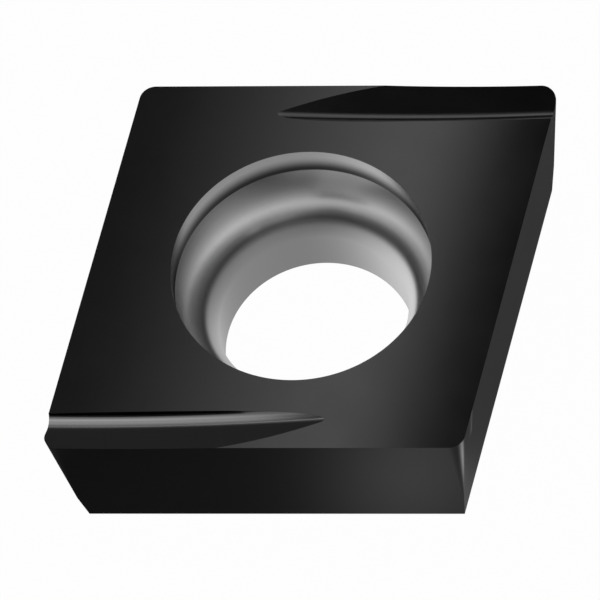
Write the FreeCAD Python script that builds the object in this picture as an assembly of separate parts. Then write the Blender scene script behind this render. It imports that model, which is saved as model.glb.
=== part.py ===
import FreeCAD, Part
import math
import os

from FreeCAD import Vector

# Carbide turning insert in millimetres and degrees: one pressed, sintered and ground piece.
# The origin is on the flat seat face, where the axis of the screw hole meets it, and +Z is up.
# Two edges run along X, and the acute corners are at the right back and the left front.

# Body
inscribed_circle = 9.525
thickness = 3.97
acute_angle = 80.0
relief_angle = 7.0
nose_radius = 0.37

# Screw hole, from the top down
counterbore_radius = 3.0
counterbore_depth = 0.8
seat_arc_radius = 2.2
bore_radius = 2.2
foot_chamfer = 0.27

# Chip groove, as a grinding wheel leaves it: each size is taken where the wheel is deepest
wheel_radius = 41.0
wheel_height = 1.2
wheel_from_corner = 2.115
wheel_turn = 1.0
groove_width = 0.863
groove_depth = 0.302
groove_rake = 16.0
groove_wall_angle = 75.0
groove_root_radius = 0.28

up = Vector(0, 0, 1)
slope = math.tan(math.radians(relief_angle))
inradius = inscribed_circle / 2


def corners(radius, height):
    """Corners of the rhombus round a circle of this radius, from the obtuse front one on round the left-hand way."""
    half = math.radians(acute_angle / 2)
    acute = Vector(radius / math.tan(half), radius, 0)
    obtuse = Vector(-radius * math.tan(half), radius, 0)
    return [point + up * height for point in (obtuse * -1, acute, obtuse, acute * -1)]


def flat(points):
    return Part.Face(Part.makePolygon(points + points[:1]))


def tapered_block():
    """The body with sharp corners: its four flanks lean in towards the seat face by the relief angle."""
    top = corners(inradius, thickness)
    seat = corners(inradius - thickness * slope, 0)
    flanks = [flat([top[i - 1], top[i], seat[i], seat[i - 1]]) for i in range(4)]
    return Part.makeSolid(Part.makeShell([flat(top), flat(seat)] + flanks))


def side(direction, radius):
    """Vector of this length at this angle round from +X."""
    angle = math.radians(direction)
    return Vector(math.cos(angle), math.sin(angle), 0) * radius


def nose_waste(centre, before, after):
    """What is ground off a corner between its two flanks, outside a cone that leans as the flanks do."""
    reach = inradius
    half = math.radians((after - before) / 2)
    tip = side((before + after) / 2, reach / math.cos(half))
    outline = [Vector(0, 0, 0), side(before, reach), tip, side(after, reach)]
    wedge = flat([centre + point for point in outline]).extrude(up * thickness)
    cone_height = nose_radius / slope
    apex = centre + up * (thickness - cone_height)
    cone = Part.makeCone(0, nose_radius, cone_height, apex, up)
    cone.rotate(centre, up, after + 90)
    return wedge.cut(cone)


def rounded_block():
    flanks = [acute_angle - 90, 90, acute_angle + 90, 270]
    centres = corners(inradius - nose_radius, 0)
    block = tapered_block()
    for index, centre in enumerate(centres):
        before = flanks[index - 1]
        after = flanks[index]
        if after < before:
            before -= 360
        block = block.cut(nose_waste(centre, before, after))
    return block


def screw_hole():
    """Bore with a counterbore above and a rounded seat between them that runs into the bore without an edge."""
    step = counterbore_radius - bore_radius
    seat_top = thickness - counterbore_depth
    seat_height = math.sqrt(seat_arc_radius**2 - (seat_arc_radius - step) ** 2)
    seat_bottom = seat_top - seat_height
    over = thickness + 1
    under = -1.0
    centre = Vector(bore_radius + seat_arc_radius, 0, seat_bottom)
    rim = Vector(counterbore_radius, 0, seat_top)
    meet = Vector(bore_radius, 0, seat_bottom)
    halfway = (rim + meet) * 0.5 - centre
    crown = centre + halfway * (seat_arc_radius / halfway.Length)
    foot = bore_radius + foot_chamfer
    edges = [
        Part.makeLine(Vector(0, 0, over), Vector(counterbore_radius, 0, over)),
        Part.makeLine(Vector(counterbore_radius, 0, over), rim),
        Part.Arc(rim, crown, meet).toShape(),
        Part.makeLine(meet, Vector(bore_radius, 0, foot_chamfer)),
        Part.makeLine(Vector(bore_radius, 0, foot_chamfer), Vector(foot, 0, 0)),
        Part.makeLine(Vector(foot, 0, 0), Vector(foot, 0, under)),
        Part.makeLine(Vector(foot, 0, under), Vector(0, 0, under)),
        Part.makeLine(Vector(0, 0, under), Vector(0, 0, over)),
    ]
    return Part.Face(Part.Wire(edges)).revolve(Vector(0, 0, 0), up, 360)


def wheel_section():
    """Edge of the wheel, across its travel: rake line, root arc and wall, about the point where the lines would meet."""
    rake = math.radians(groove_rake)
    wall = math.radians(groove_wall_angle)
    to_rake = Vector(0, -math.cos(rake), math.sin(rake))
    to_wall = Vector(0, math.cos(wall), math.sin(wall))
    half = (math.pi - rake - wall) / 2
    tangent = groove_root_radius / math.tan(half)
    middle = to_rake + to_wall
    middle.normalize()
    root = middle * (groove_root_radius / math.sin(half) - groove_root_radius)
    rake_end = to_rake * (2 * groove_width)
    wall_end = to_wall * (wheel_height / math.sin(wall))
    edges = [
        Part.makeLine(rake_end, to_rake * tangent),
        Part.Arc(to_rake * tangent, root, to_wall * tangent).toShape(),
        Part.makeLine(to_wall * tangent, wall_end),
        Part.makeLine(wall_end, Vector(0, rake_end.y, wheel_height)),
        Part.makeLine(Vector(0, rake_end.y, wheel_height), rake_end),
    ]
    return Part.Face(Part.Wire(edges))


def grinding_wheel():
    """The part of the wheel that dips into the front edge, from the acute corner to where the groove runs out."""
    run_out = math.sqrt(2 * wheel_radius * groove_depth)
    sweep = math.degrees(math.asin(min(1, 1.5 * max(run_out, wheel_from_corner) / wheel_radius)))
    section = wheel_section()
    axis = Vector(0, 1, 0)
    section.rotate(Vector(0, 0, wheel_radius), axis, -sweep)
    wheel = section.revolve(Vector(0, 0, wheel_radius), axis, 2 * sweep)
    wheel.rotate(Vector(0, 0, 0), up, wheel_turn)
    acute_front = corners(inradius, thickness)[3]
    wheel.translate(acute_front + Vector(wheel_from_corner, groove_width, -groove_depth))
    return wheel


def insert_body():
    body = rounded_block().cut(screw_hole())
    wheel = grinding_wheel()
    body = body.cut(wheel)
    wheel.rotate(Vector(0, 0, 0), up, 180)
    return body.cut(wheel)


os.makedirs("parts", exist_ok=True)
body = insert_body()
print("valid", body.isValid(), "solids", len(body.Solids), "faces", len(body.Faces), "volume", round(body.Volume, 3))
body.Solids[0].exportStep("parts/insert_body.step")
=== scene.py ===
import math

import bmesh
import bpy
from mathutils import Matrix, Vector


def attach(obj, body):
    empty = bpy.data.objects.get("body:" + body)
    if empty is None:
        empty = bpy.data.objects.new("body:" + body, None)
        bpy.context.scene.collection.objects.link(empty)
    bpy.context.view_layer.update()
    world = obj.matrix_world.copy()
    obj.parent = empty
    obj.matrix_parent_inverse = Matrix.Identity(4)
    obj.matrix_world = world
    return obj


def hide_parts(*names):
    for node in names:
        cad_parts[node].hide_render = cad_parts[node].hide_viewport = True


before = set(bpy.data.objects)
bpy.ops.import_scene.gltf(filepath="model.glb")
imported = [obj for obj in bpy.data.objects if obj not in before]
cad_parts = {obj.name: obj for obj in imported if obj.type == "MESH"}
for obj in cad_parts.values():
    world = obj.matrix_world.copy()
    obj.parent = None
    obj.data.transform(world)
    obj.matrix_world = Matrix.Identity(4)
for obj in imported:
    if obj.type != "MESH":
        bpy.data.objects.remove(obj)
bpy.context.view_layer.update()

mm = 0.001

# the ground insert, sizes in millimetres and degrees, as the part's own drawing gives them
insertSizes = {
    "inscribedCircle": 9.525,
    "thickness": 3.97,
    "acuteAngle": 80.0,
    "reliefAngle": 7.0,
    "noseRadius": 0.37,
    "noseSteps": 96,
    "noseRings": 7,
}

holeSizes = {
    "counterboreRadius": 3.0,
    "counterboreDepth": 0.8,
    "seatArcRadius": 2.2,
    "boreRadius": 2.2,
    "footChamfer": 0.27,
    "seatSteps": 40,
    "turnSteps": 288,
    "overrun": 0.5,
}

grooveSizes = {
    "wheelRadius": 41.0,
    "wheelHeight": 1.2,
    "fromCorner": 2.115,      # along the cutting edge, from the sharp corner to where the wheel is deepest
    "wheelTurn": 1.0,
    "width": 0.863,
    "depth": 0.302,
    "rake": 16.0,
    "wallAngle": 75.0,
    "rootRadius": 0.28,
    "rootSteps": 26,
    "turnSteps": 900,
}

# how near counts as the same, in millimetres
tolerances = {
    "merge": 1e-5,
    "sliver": 1e-6,            # an edge shorter than this is dropped
    "parallel": 1e-6,          # of the product of two unit normals, under 1
    "onFace": 1e-4,
    "skin": 0.001,             # under the top face and over the bottom one
    "holeSkin": 0.005,         # outside the counterbore's wall
    "corner": 20.0,            # degrees between two facets, past which their edge is crisp
}


# nodes: a wire stands for an output socket, and python's operators on it add Math nodes
class Wire:
    def __init__(self, net, socket):
        self.net = net
        self.socket = socket

    def math(self, operation, *others):
        values = dict(enumerate((self,) + others))
        return self.net.add("ShaderNodeMath", {"operation": operation}, values)

    def __add__(self, other):
        return self.math("ADD", other)

    def __sub__(self, other):
        return self.math("SUBTRACT", other)

    def __mul__(self, other):
        return self.math("MULTIPLY", other)

    def __truediv__(self, other):
        return self.math("DIVIDE", other)

    def __rsub__(self, other):
        return self.net.add("ShaderNodeMath", {"operation": "SUBTRACT"}, {0: other, 1: self})

    def __rtruediv__(self, other):
        return self.net.add("ShaderNodeMath", {"operation": "DIVIDE"}, {0: other, 1: self})

    def __lt__(self, other):
        return self.math("LESS_THAN", other)

    def __gt__(self, other):
        return self.math("GREATER_THAN", other)

    __radd__ = __add__
    __rmul__ = __mul__


class Net:
    def __init__(self, tree):
        self.tree = tree

    # one node: its settings come first, then a value or a wire for each input
    def add(self, kind, settings=None, inputs=None, output=0):
        node = self.tree.nodes.new(kind)
        for name, value in (settings or {}).items():
            setattr(node, name, value)
        for key, value in (inputs or {}).items():
            for one in value if isinstance(value, list) else [value]:
                if isinstance(one, Wire):
                    self.tree.links.new(one.socket, node.inputs[key])
                else:
                    node.inputs[key].default_value = one
        return Wire(self, node.outputs[output]) if len(node.outputs) else node

    def out(self, wire, output):
        return Wire(self, wire.socket.node.outputs[output])


def arcPoints(centre, radius, start, end, steps):
    angles = [start + (end - start) * step / steps for step in range(steps + 1)]
    return [(centre[0] + radius * math.cos(a), centre[1] + radius * math.sin(a)) for a in angles]


# corners of the rhombus round a circle, from the obtuse front one on to the acute one at the right back
def rhombusCorners(inradius):
    half = math.radians(insertSizes["acuteAngle"] / 2)
    acute = Vector((inradius / math.tan(half), inradius, 0))
    obtuse = Vector((-inradius * math.tan(half), inradius, 0))
    return [-obtuse, acute, obtuse, -acute]


# one outline of the tapered block, drop mm under the top face, with its noses as arcs
def blockOutline(drop):
    lean = math.tan(math.radians(insertSizes["reliefAngle"]))
    inradius = insertSizes["inscribedCircle"] / 2
    radius = max(insertSizes["noseRadius"] - drop * lean, 0)
    centres = rhombusCorners(inradius - drop * lean - radius)
    acute = insertSizes["acuteAngle"]
    flanks = [-90, acute - 90, 90, acute + 90, 270]
    height = insertSizes["thickness"] - drop
    outline = []
    for corner, centre in enumerate(centres):
        start, end = (math.radians(angle) for angle in flanks[corner:corner + 2])
        arc = arcPoints(centre, radius, start, end, insertSizes["noseSteps"])
        outline += [(x, y, height) for x, y in arc]
    return outline


def taperedBlock():
    lean = math.tan(math.radians(insertSizes["reliefAngle"]))
    vanish = insertSizes["noseRadius"] / lean
    rings = insertSizes["noseRings"]
    drops = [vanish * (1 - 0.5 ** ring) for ring in range(rings)] + [vanish, insertSizes["thickness"]]
    mesh = bmesh.new()
    levels = [[mesh.verts.new(point) for point in blockOutline(drop)] for drop in drops]
    count = len(levels[0])
    mesh.faces.new(levels[0])
    mesh.faces.new(levels[-1][::-1])
    for upper, lower in zip(levels, levels[1:]):
        for i in range(count):
            j = (i + 1) % count
            mesh.faces.new((upper[j], upper[i], lower[i], lower[j]))
    bmesh.ops.remove_doubles(mesh, verts=mesh.verts, dist=tolerances["merge"])
    bmesh.ops.dissolve_degenerate(mesh, edges=mesh.edges, dist=tolerances["sliver"])
    bmesh.ops.recalc_face_normals(mesh, faces=mesh.faces)
    block = bpy.data.meshes.new("taperedBlock")
    mesh.to_mesh(block)
    mesh.free()
    return block


# the screw hole's outline as radius and height, from the axis under the foot to the axis over the top
def holeProfile():
    s = holeSizes
    top = insertSizes["thickness"]
    step = s["counterboreRadius"] - s["boreRadius"]
    seatTop = top - s["counterboreDepth"]
    seatHeight = math.sqrt(s["seatArcRadius"] ** 2 - (s["seatArcRadius"] - step) ** 2)
    centre = (s["boreRadius"] + s["seatArcRadius"], seatTop - seatHeight)
    start = math.pi - math.asin(seatHeight / s["seatArcRadius"])
    foot = s["boreRadius"] + s["footChamfer"]
    over = top + s["overrun"]
    under = -s["overrun"]
    points = [(0, over), (s["counterboreRadius"], over)]
    points += arcPoints(centre, s["seatArcRadius"], start, math.pi, s["seatSteps"])
    points += [(s["boreRadius"], s["footChamfer"]), (foot, 0), (foot, under), (0, under)]
    return points[::-1]


# the grinding wheel's rim as radius and place along its axle, which is 0 where rake and wall would meet
def wheelProfile():
    s = grooveSizes
    rake, wall = math.radians(s["rake"]), math.radians(s["wallAngle"])
    half = (math.pi - rake - wall) / 2
    tangent = s["rootRadius"] / math.tan(half)
    rakeEnd = 2 * s["width"]
    wallEnd = s["wheelHeight"] / math.tan(wall)
    centre = (-tangent * math.cos(rake) + s["rootRadius"] * math.sin(rake),
              tangent * math.sin(rake) + s["rootRadius"] * math.cos(rake))
    root = arcPoints(centre, s["rootRadius"], -math.pi / 2 - rake, -math.pi / 2 + wall, s["rootSteps"])
    rim = [(-rakeEnd, rakeEnd * math.tan(rake))] + root
    rim += [(wallEnd, s["wheelHeight"]), (-rakeEnd, s["wheelHeight"]), rim[0]]
    return [(s["wheelRadius"] - height, place) for place, height in rim]


# a throwaway object that hands a profile to the nodes, one vertex for each of its points
def profileObject(name, points):
    mesh = bpy.data.meshes.new(name)
    mesh.from_pydata([(x, 0, z) for x, z in points], [], [])
    holder = bpy.data.objects.new(name, mesh)
    bpy.context.scene.collection.objects.link(holder)
    return holder


# geometry nodes: turns a profile about the Z axis into a closed solid
def lathe(net, profile, turnSteps):
    points = net.add("GeometryNodeObjectInfo", None, {"Object": profile}, "Geometry")
    count = net.add("GeometryNodeAttributeDomainSize", None, {"Geometry": points}, "Point Count")
    grid = net.add("GeometryNodeMeshGrid", None, {"Vertices X": turnSteps + 1, "Vertices Y": count}, "Mesh")
    index = net.add("GeometryNodeInputIndex")
    column = (index / count).math("FLOOR")
    row = index - column * count
    spot = net.add("GeometryNodeInputPosition")
    point = net.add("GeometryNodeSampleIndex", {"data_type": "FLOAT_VECTOR", "domain": "POINT"},
                    {"Geometry": points, "Index": row}, 0)
    for socket in point.socket.node.inputs:
        if socket.name == "Value" and socket.enabled:
            net.tree.links.new(spot.socket, socket)
    angle = column / turnSteps * (2 * math.pi)
    turned = net.add("ShaderNodeVectorRotate", {"rotation_type": "Z_AXIS"}, {"Vector": point, "Angle": angle})
    solid = net.add("GeometryNodeSetPosition", None, {"Geometry": grid, "Position": turned})
    return net.add("GeometryNodeMergeByDistance", None, {"Geometry": solid, "Distance": tolerances["merge"]})


def groundInsertTree(coating, bareMetal):
    tree = bpy.data.node_groups.new("groundInsert", "GeometryNodeTree")
    face = tree.interface
    face.new_socket("Block", in_out="INPUT", socket_type="NodeSocketGeometry")
    for name in ("Hole Profile", "Wheel Profile"):
        face.new_socket(name, in_out="INPUT", socket_type="NodeSocketObject")
    for name in ("Hole Steps", "Wheel Steps"):
        face.new_socket(name, in_out="INPUT", socket_type="NodeSocketInt")
    for name in ("Wheel Place", "Wheel Turn"):
        face.new_socket(name, in_out="INPUT", socket_type="NodeSocketVector")
    for name in ("Hole Radius", "Top Height", "Foot Height"):
        face.new_socket(name, in_out="INPUT", socket_type="NodeSocketFloat")
    face.new_socket("Insert", in_out="OUTPUT", socket_type="NodeSocketGeometry")
    net = Net(tree)
    given = net.add("NodeGroupInput")
    given = {s.name: Wire(net, s) for s in given.socket.node.outputs if s.name}
    hole = lathe(net, given["Hole Profile"], given["Hole Steps"])
    wheel = lathe(net, given["Wheel Profile"], given["Wheel Steps"])
    wheel = net.add("GeometryNodeTransform", None,
                    {"Geometry": wheel, "Translation": given["Wheel Place"], "Rotation": given["Wheel Turn"]})
    halfTurn = (0, 0, math.pi)
    second = net.add("GeometryNodeTransform", None, {"Geometry": wheel, "Rotation": halfTurn})
    cut = net.add("GeometryNodeMeshBoolean", {"operation": "DIFFERENCE", "solver": "MANIFOLD"},
                  {"Mesh 1": given["Block"], "Mesh 2": [hole, wheel, second]})
    smooth = net.add("GeometryNodeSetShadeSmooth", {"domain": "FACE"},
                     {"Geometry": cut, "Shade Smooth": True})
    real = net.add("GeometryNodeRealizeInstances", None, {"Geometry": smooth})
    spot = net.add("GeometryNodeInputPosition")
    axes = net.add("ShaderNodeSeparateXYZ", None, {"Vector": spot})
    x, y, z = (net.out(axes, name) for name in "XYZ")
    nearAxis = (x * x + y * y).math("SQRT") < given["Hole Radius"]
    between = (z < given["Top Height"]) * (z > given["Foot Height"])     # the top and bottom faces are coated
    coated = net.add("GeometryNodeSetMaterial", None, {"Geometry": real, "Material": coating})
    bare = net.add("GeometryNodeSetMaterial", None,
                   {"Geometry": coated, "Selection": nearAxis * between, "Material": bareMetal})
    net.add("NodeGroupOutput", None, {"Insert": bare})
    return tree


def setInputs(modifier, values):
    for item in modifier.node_group.interface.items_tree:
        if item.in_out == "INPUT" and item.name in values:
            modifier[item.identifier] = values[item.name]


def noseCorner():
    return rhombusCorners(insertSizes["inscribedCircle"] / 2)[3]


# the flat faces of the insert, each as its outward normal and its distance from the origin
def flatFaces():
    relief = math.radians(insertSizes["reliefAngle"])
    inradius = insertSizes["inscribedCircle"] / 2
    thickness = insertSizes["thickness"]
    faces = [(Vector((0, 0, 1)), thickness), (Vector((0, 0, -1)), 0)]
    for angle in (-90, insertSizes["acuteAngle"] - 90, 90, insertSizes["acuteAngle"] + 90):
        outward = Vector((math.cos(math.radians(angle)), math.sin(math.radians(angle)), 0))
        normal = outward * math.cos(relief) - Vector((0, 0, math.sin(relief)))
        faces.append((normal, normal.dot(outward * inradius + Vector((0, 0, thickness)))))
    return faces


# the number of the flat face that a facet lies in, or None on a curved surface
def flatFaceOf(facet, flats):
    middle = facet.calc_center_median()
    for i, (normal, distance) in enumerate(flats):
        parallel = normal.dot(facet.normal) > 1 - tolerances["parallel"]
        if parallel and abs(normal.dot(middle) - distance) < tolerances["onFace"]:
            return i
    return None


# a ground edge is crisp: between two flat faces, round a flat face, and wherever the surface turns a corner
def markCreases(mesh):
    flats = flatFaces()
    sharp = math.radians(tolerances["corner"])
    shape = bmesh.new()
    shape.from_mesh(mesh)
    kinds = {facet: flatFaceOf(facet, flats) for facet in shape.faces}
    for edge in shape.edges:
        facets = edge.link_faces
        corner = len(facets) == 2 and facets[0].normal.angle(facets[1].normal, 0) > sharp
        edge.smooth = not (corner or len({kinds[facet] for facet in facets}) > 1)
    shape.to_mesh(mesh)
    shape.free()


def makeInsert(coating, bareMetal):
    block = bpy.data.objects.new("insertBlock", taperedBlock())
    bpy.context.scene.collection.objects.link(block)
    helpers = [profileObject("holeProfile", holeProfile()), profileObject("wheelProfile", wheelProfile())]
    s = grooveSizes
    axleHeight = insertSizes["thickness"] - s["depth"] + s["wheelRadius"]
    place = noseCorner() + Vector((s["fromCorner"], s["width"], axleHeight))
    cut = block.modifiers.new("ground", "NODES")
    cut.node_group = groundInsertTree(coating, bareMetal)
    setInputs(cut, {
        "Hole Profile": helpers[0],
        "Wheel Profile": helpers[1],
        "Hole Steps": holeSizes["turnSteps"],
        "Wheel Steps": s["turnSteps"],
        "Wheel Place": place,
        "Wheel Turn": (math.pi / 2, 0, math.radians(s["wheelTurn"] + 180)),
        "Hole Radius": holeSizes["counterboreRadius"] + tolerances["holeSkin"],
        "Top Height": insertSizes["thickness"] - tolerances["skin"],
        "Foot Height": tolerances["skin"],
    })
    seen = block.evaluated_get(bpy.context.evaluated_depsgraph_get())
    ground = bpy.data.meshes.new_from_object(seen)
    markCreases(ground)
    ground.transform(Matrix.Scale(mm, 4))
    for old in [block] + helpers:
        bpy.data.objects.remove(old)
    piece = bpy.data.objects.new("insertDressed", ground)
    bpy.context.scene.collection.objects.link(piece)
    even = piece.modifiers.new("evenNormals", "WEIGHTED_NORMAL")
    even.keep_sharp = True
    even.weight = 100
    seen = piece.evaluated_get(bpy.context.evaluated_depsgraph_get())
    piece.data = bpy.data.meshes.new_from_object(seen)
    piece.modifiers.clear()
    print("insert faces", len(piece.data.polygons))
    return piece


def newMaterial(name):
    material = bpy.data.materials.new(name)
    material.use_nodes = True
    material.node_tree.nodes.clear()
    return material, Net(material.node_tree)


# the piece's own coordinates in millimetres
def millimetres(net):
    place = net.add("ShaderNodeTexCoord", None, None, "Object")
    return net.add("ShaderNodeVectorMath", {"operation": "SCALE"}, {"Vector": place, "Scale": 1 / mm})


def axesOf(net, vector):
    parts = net.add("ShaderNodeSeparateXYZ", None, {"Vector": vector})
    return [net.out(parts, name) for name in "XYZ"]


def noise(net, vector, scale, detail=2.0):
    return net.add("ShaderNodeTexNoise", None, {"Vector": vector, "Scale": scale, "Detail": detail}, "Fac")


def grey(net, level):
    return net.add("ShaderNodeCombineColor", None, {"Red": level, "Green": level, "Blue": level})


# from 0 at the start to 1 at the end, with soft ends
def ramp(net, value, start, end):
    return net.add("ShaderNodeMapRange", {"interpolation_type": "SMOOTHSTEP"},
                   {"Value": value, "From Min": start, "From Max": end})


coatingLook = {
    "colour": 0.0022,
    "colourSpread": 0.4,       # share of the colour by which clouds of the coating differ
    "cloudScale": 1.1,         # per mm
    "roughness": 0.18,
    "roughnessSpread": 0.05,
    "grainScale": 55.0,
    "grainDetail": 3.0,
    "grainDepth": 0.00025,     # in mm
    "polishHighlight": (0.95, 0.05),    # colour of each groove's ground root: partly polish left by the wheel, partly a painted highlight, far lighter at the front groove than the back one
    "polishHighlightMiddle": -0.04,     # along the wheel's axle, in mm from where rake and wall would meet
    "polishHighlightWidth": 0.11,
    "polishHighlightFullTo": 0.005,
    "polishHighlightGoneAt": 0.05,      # the foot of the wall
    "polishHighlightDepth": 1.0,        # under the top face, in mm
    "polishHighlightMetal": 5.0,        # how soon the polished root, with its painted highlight, counts as bare metal
}


# the grooves' ground roots, partly polished and partly a painted highlight, brightest in their middle,
# falling smoothly to rake and wall
def rootPolishAndHighlight(net, place):
    s, look = grooveSizes, coatingLook
    corner = noseCorner()
    turn = math.radians(s["wheelTurn"])
    top = insertSizes["thickness"]
    total = 0
    for halfTurn, level in zip((0, math.pi), look["polishHighlight"]):
        turned = net.add("ShaderNodeVectorRotate", {"rotation_type": "Z_AXIS"},
                         {"Vector": place, "Angle": -halfTurn})
        x, y, z = axesOf(net, turned)
        along = x - (corner.x + s["fromCorner"])
        axial = (y - (corner.y + s["width"])) * math.cos(turn) - along * math.sin(turn)
        off = (axial - look["polishHighlightMiddle"]) / look["polishHighlightWidth"]
        ground = (z < top - tolerances["skin"]) * (z > top - look["polishHighlightDepth"])
        foot = 1 - ramp(net, axial, look["polishHighlightFullTo"], look["polishHighlightGoneAt"])
        total = (off * off * -1).math("EXPONENT") * ground * foot * level + total
    return total


def makeCoating():
    look = coatingLook
    material, net = newMaterial("darkCoating")
    place = millimetres(net)
    polishHighlight = rootPolishAndHighlight(net, place)
    cloud = noise(net, place, look["cloudScale"]) - 0.5
    grain = noise(net, place, look["grainScale"], look["grainDetail"])
    dark = (cloud * 2 * look["colourSpread"] + 1) * look["colour"]
    bump = net.add("ShaderNodeBump", None,
                   {"Height": grain, "Distance": look["grainDepth"] * mm, "Strength": 1.0})
    shader = net.add("ShaderNodeBsdfPrincipled", None, {
        # the painted highlight along each groove's root adds to the coating's colour and makes it metal
        "Base Color": grey(net, dark + polishHighlight),
        "Metallic": (polishHighlight * look["polishHighlightMetal"]).math("MINIMUM", 1),
        "Roughness": (cloud + grain - 0.5) * look["roughnessSpread"] + look["roughness"],
        "IOR": 1.5,
        "Normal": bump,
    })
    net.add("ShaderNodeOutputMaterial", None, {"Surface": shader})
    return material


metalLook = {
    "colour": 0.8,
    "rim": 0.96,               # the counterbore's wall is light at its rim and darkens towards its foot, painted shade in its corner with the seat
    "foot": 0.05,
    "footFrom": 0.2,           # depths in mm
    "footTo": 0.73,
    "colourSpread": 0.05,
    "roughness": 0.24,
    "roughnessSpread": 0.06,
    "ringScale": 40.0,         # turning marks per mm of depth
    "ringWander": 0.3,         # and across the hole, so that they aren't quite even
    "ringDepth": 0.0002,       # in mm
}


def makeBareMetal():
    look = metalLook
    material, net = newMaterial("bareMetal")
    x, y, z = axesOf(net, millimetres(net))
    depth = insertSizes["thickness"] - z
    # painted shade: the wall's colour falls from rim to foot
    wallShadedTone = ramp(net, depth, look["footFrom"], look["footTo"]) * (look["foot"] - look["rim"]) + look["rim"]
    wall = depth < holeSizes["counterboreDepth"]
    tone = wall * wallShadedTone + (1 - wall) * look["colour"]
    wander = look["ringWander"]
    rings = net.add("ShaderNodeCombineXYZ", None,
                    {"X": x * wander, "Y": y * wander, "Z": z * look["ringScale"]})
    marks = noise(net, rings, 1.0)
    bump = net.add("ShaderNodeBump", None,
                   {"Height": marks, "Distance": look["ringDepth"] * mm, "Strength": 1.0})
    shader = net.add("ShaderNodeBsdfPrincipled", None, {
        "Base Color": grey(net, ((marks - 0.5) * look["colourSpread"] + 1) * tone),
        "Metallic": 1.0,
        "Roughness": (marks - 0.5) * look["roughnessSpread"] + look["roughness"],
        "Normal": bump,
    })
    net.add("ShaderNodeOutputMaterial", None, {"Surface": shader})
    return material


print("insert")
insert = makeInsert(makeCoating(), makeBareMetal())
insert.visible_glossy = False      # its metal mirrors the studio, and not its own far side
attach(insert, "root")
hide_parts("insert_body")

cameraView = {
    "azimuth": 15.924,
    "elevation": 59.197,
    "roll": -13.891,
    "right": -0.506,          # of the view's middle from the origin, in mm
    "up": 1.185,
    "distance": 289.86,
    "frameAtDistance": 13.8340,
}


# from the object towards the camera
def cameraBack():
    azimuth, elevation = (math.radians(cameraView[name]) for name in ("azimuth", "elevation"))
    level = math.cos(elevation)
    return Vector((math.sin(azimuth) * level, -math.cos(azimuth) * level, math.sin(elevation)))


def makeCamera():
    s = cameraView
    azimuth, roll = (math.radians(s[name]) for name in ("azimuth", "roll"))
    back = cameraBack()
    level = Vector((math.cos(azimuth), math.sin(azimuth), 0))
    upright = back.cross(level)
    right = level * math.cos(roll) + upright * math.sin(roll)
    up = upright * math.cos(roll) - level * math.sin(roll)
    camera = bpy.data.objects.new("camera", bpy.data.cameras.new("camera"))
    camera.data.lens = camera.data.sensor_width * s["distance"] / s["frameAtDistance"]
    place = (right * s["right"] + up * s["up"] + back * s["distance"]) * mm
    camera.matrix_world = Matrix.Translation(place) @ Matrix((right, up, back)).transposed().to_4x4()
    bpy.context.scene.collection.objects.link(camera)
    bpy.context.scene.camera = camera


print("camera")
makeCamera()

floorLook = {
    "halfSide": 3000.0,
    "below": 0.005,            # under the insert's foot, in mm
    "colour": 0.85,
    "white": 0.985,            # share of plain white in what a ray from camera, metal or glass finds
    "shade": 0.053,            # how light the metal finds the floor where a painted shade stands for the insert's shadow
    "shadePerX": 0.003,
    "near": 0.274,             # and around that, before it is as white as the camera sees it
    "nearTurn": 0.61,
    "nearTowards": 250.7,      # the side where it is lightest, in degrees from X
    "nearFrom": 7.6,           # radii in mm
    "nearTo": 14.9,
    "whiteFrom": 127.0,
    "whiteTo": 200.0,
    "pools": [                 # soft painted pools of light, and a last one of painted shade: x, y, radius, level
        (2.36, -5.31, 1.96, 0.24),
        (5.08, -4.0, 0.62, 1.1),
        (4.2, 15.0, 2.6, 0.4),
        (-5.5, -12.5, 3.2, -0.4),
    ],
    "foot": 4.2,               # inside this radius a mirrored ray finds the floor black, a painted shade under the insert
    "opening": 2.52,           # and inside this one it finds the studio's lower half instead
    "openingBlur": 0.19,
    "footGap": 0.02,           # so does a mirrored ray shorter than this, which left the underside
    "middle": 0.01,            # the smallest radius, so that nothing is divided by nought
}


# how white the floor is, and how open, for a ray that the insert mirrors: a painted map of shade and light;
# the place is in mm
def mirroredFloor(net, place):
    look = floorLook
    x, y, _ = axesOf(net, place)
    radius = (x * x + y * y).math("SQRT").math("MAXIMUM", look["middle"])
    edge, blur = look["opening"], look["openingBlur"]
    opening = 1 - ramp(net, radius, edge - blur, edge + blur)
    towards = math.radians(look["nearTowards"])
    turn = (x * math.cos(towards) + y * math.sin(towards)) / radius * look["nearTurn"] + 1
    shade = x * look["shadePerX"] + look["shade"]
    near = turn * look["near"]
    level = shade + (near - shade) * ramp(net, radius, look["nearFrom"], look["nearTo"])
    level = level + (1 - near) * ramp(net, radius, look["whiteFrom"], look["whiteTo"])
    for poolX, poolY, reach, strength in look["pools"]:
        awayX, awayY = (x - poolX) / reach, (y - poolY) / reach
        level = ((awayX * awayX + awayY * awayY) * -1).math("EXPONENT") * strength + level
    return (radius > look["foot"]) * level.math("MAXIMUM", 0), opening


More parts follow.
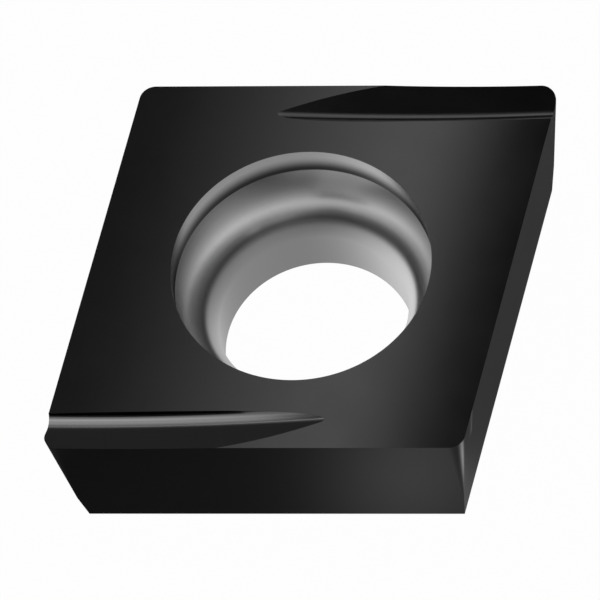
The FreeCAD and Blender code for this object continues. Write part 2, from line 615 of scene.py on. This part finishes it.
def makeFloor():
    look = floorLook
    side, z = look["halfSide"] * mm, -look["below"] * mm
    mesh = bpy.data.meshes.new("floor")
    corners = [(-side, -side, z), (side, -side, z), (side, side, z), (-side, side, z)]
    mesh.from_pydata(corners, [], [(0, 1, 2, 3)])
    floor = bpy.data.objects.new("floor", mesh)
    bpy.context.scene.collection.objects.link(floor)
    material, net = newMaterial("paleFloor")
    material.cycles.emission_sampling = "NONE"
    path = net.add("ShaderNodeLightPath")
    camera = net.out(path, "Is Camera Ray")
    mirrored = net.out(path, "Is Glossy Ray") + net.out(path, "Is Transmission Ray")
    level, opening = mirroredFloor(net, millimetres(net))
    matt = net.add("ShaderNodeBsdfDiffuse", None, {"Color": (look["colour"],) * 3 + (1,)})
    white = net.add("ShaderNodeEmission", None, {"Strength": camera + mirrored * level})
    seen = (camera + mirrored).math("MINIMUM", 1) * look["white"]
    both = net.add("ShaderNodeMixShader", None, {0: seen, 1: matt, 2: white})
    under = net.out(net.add("ShaderNodeNewGeometry"), "Backfacing")
    clear = net.add("ShaderNodeBsdfTransparent")
    atFoot = net.out(path, "Ray Length") < look["footGap"] * mm
    passes = under.math("MAXIMUM", mirrored * opening.math("MAXIMUM", atFoot))
    whole = net.add("ShaderNodeMixShader", None, {0: passes, 1: both, 2: clear})
    net.add("ShaderNodeOutputMaterial", None, {"Surface": whole})
    mesh.materials.append(material)
    return floor


# narrow softboxes in a row over the top face, square to what the camera sees mirrored in it
stripLamps = {
    "distance": 20.0,
    "near": -9.0,              # the ends of each strip, from the mirrored middle of the top face
    "far": 14.0,
    "first": -8.0,             # and the first strip's place across it
    "pitch": 1.0,
    "level": [0.35, 0.35, 0.3, 0.08, 0.16, 0.4, 0.63, 1.0, 1.33, 1.75, 2.2, 1.27],
}


# narrow softboxes in an arch over the front groove
archLamps = {
    "middle": (-6.4, -4.0, 3.8),
    "distance": 8.0,
    "length": 8.0,
    "width": 1.4,
    "from": 75.0,
    "step": 10.0,
    "level": [0.24, 0.3, 0.32, 0.29, 0.22, 0.17, 0.13, 0.1, 0.05],
}

# a black card before the front groove, that only mirrored rays find: x, y and height in mm
flagSizes = {
    "left": -7.0,
    "right": -1.3,
    "front": -5.2,
    "low": 3.3,
    "highLeft": 4.1,          # its top rises with the groove's run-out
    "highRight": 4.35,
}


def makeFlag():
    s = flagSizes
    corners = [(s[x] * mm, s["front"] * mm, s[z] * mm)
               for x, z in (("left", "low"), ("right", "low"), ("right", "highRight"), ("left", "highLeft"))]
    mesh = bpy.data.meshes.new("flag")
    mesh.from_pydata(corners, [], [(0, 1, 2, 3)])
    flag = bpy.data.objects.new("flag", mesh)
    bpy.context.scene.collection.objects.link(flag)
    material, net = newMaterial("blackCard")
    net.add("ShaderNodeOutputMaterial", None,
            {"Surface": net.add("ShaderNodeBsdfDiffuse", None, {"Color": (0, 0, 0, 1)})})
    mesh.materials.append(material)
    flag.visible_camera = flag.visible_diffuse = flag.visible_shadow = False
    return flag


# a lamp that shines back along its own ray; at level 1 it is as bright as a white surface in full light
def softbox(name, place, across, along, width, length, level):
    light = bpy.data.lights.new(name, "AREA")
    light.shape = "RECTANGLE"
    light.size, light.size_y = width * mm, length * mm
    light.energy = level * math.pi * light.size * light.size_y
    lamp = bpy.data.objects.new(name, light)
    facing = Matrix((across, along, across.cross(along))).transposed().to_4x4()
    lamp.matrix_world = Matrix.Translation(place * mm) @ facing
    lamp.visible_camera = False
    bpy.context.scene.collection.objects.link(lamp)


def makeLamps():
    s = stripLamps
    back = cameraBack()
    mirrored = Vector((-back.x, -back.y, back.z))
    slant = math.radians(insertSizes["acuteAngle"])
    edge = Vector((math.cos(slant), math.sin(slant), 0))
    across = edge.cross(mirrored).normalized()
    along = mirrored.cross(across)
    top = Vector((0, 0, insertSizes["thickness"]))
    middle = top + mirrored * s["distance"] + along * (s["near"] + s["far"]) / 2
    for i, level in enumerate(s["level"]):
        place = middle + across * (s["first"] + s["pitch"] * i)
        softbox(f"strip{i}", place, across, along, s["pitch"], s["far"] - s["near"], level)
    s = archLamps
    across = Vector((1, 0, 0))
    for i, level in enumerate(s["level"]):
        angle = math.radians(s["from"] + s["step"] * i)
        ray = Vector((0, math.cos(angle), math.sin(angle)))
        softbox(f"arch{i}", Vector(s["middle"]) + ray * s["distance"], across, ray.cross(across),
                s["length"], s["width"], level)


skyLook = {
    "horizon": 0.487,
    "fade": 5.12,              # how fast the studio darkens over the horizon, per unit of height
    "back": -1.08,             # how the horizon changes towards the back, and on to the sides
    "sides": 0.56,
    "glows": [                 # soft glows: elevation, azimuth, sharpness, level
        (46.0, 266.0, 40.0, 0.2),
        (28.6, 334.9, 9.2, 0.124),
    ],
}

# the studio's lower half: its level straight down, and how that changes away and to the right
lowerSky = {
    "turn": 15.924,            # degrees from Y to what is called away
    "dim": 0.041,              # all that is left of it near the horizon
    "from": 0.5,               # depths, of a ray as long as 1, between which the rest fades in
    "to": 0.54,
    "down": 0.36,
    "away": 0.334,
    "right": -0.174,
    "awayBend": 0.107,
    "rightBend": -0.02,
    "twist": -0.318,
}


def lowerHalf(net, ray):
    s = lowerSky
    seen = net.add("ShaderNodeVectorRotate", {"rotation_type": "Z_AXIS"},
                   {"Vector": ray, "Angle": -math.radians(s["turn"])})
    right, away, z = axesOf(net, seen)
    level = away * (away * s["awayBend"] + s["away"]) + right * (right * s["rightBend"] + s["right"])
    level = (level + right * away * s["twist"] + s["down"]).math("MAXIMUM", 0)
    return level * ramp(net, z * -1, s["from"], s["to"]) + s["dim"]


def makeSky():
    look = skyLook
    world = bpy.data.worlds.new("studio")
    world.use_nodes = True
    world.cycles.sampling_method = "NONE"
    world.node_tree.nodes.clear()
    net = Net(world.node_tree)
    ray = net.add("ShaderNodeTexCoord", None, None, "Generated")
    x, y, z = axesOf(net, ray)
    around = ((x * x - y * y) * look["sides"] + y * look["back"] + 1).math("MAXIMUM", 0)
    level = (z.math("MAXIMUM", 0) * -look["fade"]).math("EXPONENT") * around * look["horizon"]
    for elevation, azimuth, sharpness, strength in look["glows"]:
        e, a = math.radians(elevation), math.radians(azimuth)
        near = x * (math.cos(e) * math.cos(a)) + y * (math.cos(e) * math.sin(a)) + z * math.sin(e)
        level = ((near - 1) * sharpness).math("EXPONENT") * strength + level
    upper = z > 0
    level = upper * level + (1 - upper) * lowerHalf(net, ray)
    camera = net.out(net.add("ShaderNodeLightPath"), "Is Camera Ray")
    sky = net.add("ShaderNodeBackground", None, {"Color": grey(net, camera + (1 - camera) * level)})
    net.add("ShaderNodeOutputWorld", None, {"Surface": sky})
    bpy.context.scene.world = world


print("floor and light")
makeFloor()
makeFlag()
makeLamps()
makeSky()
bpy.context.scene.view_settings.view_transform = "Standard"
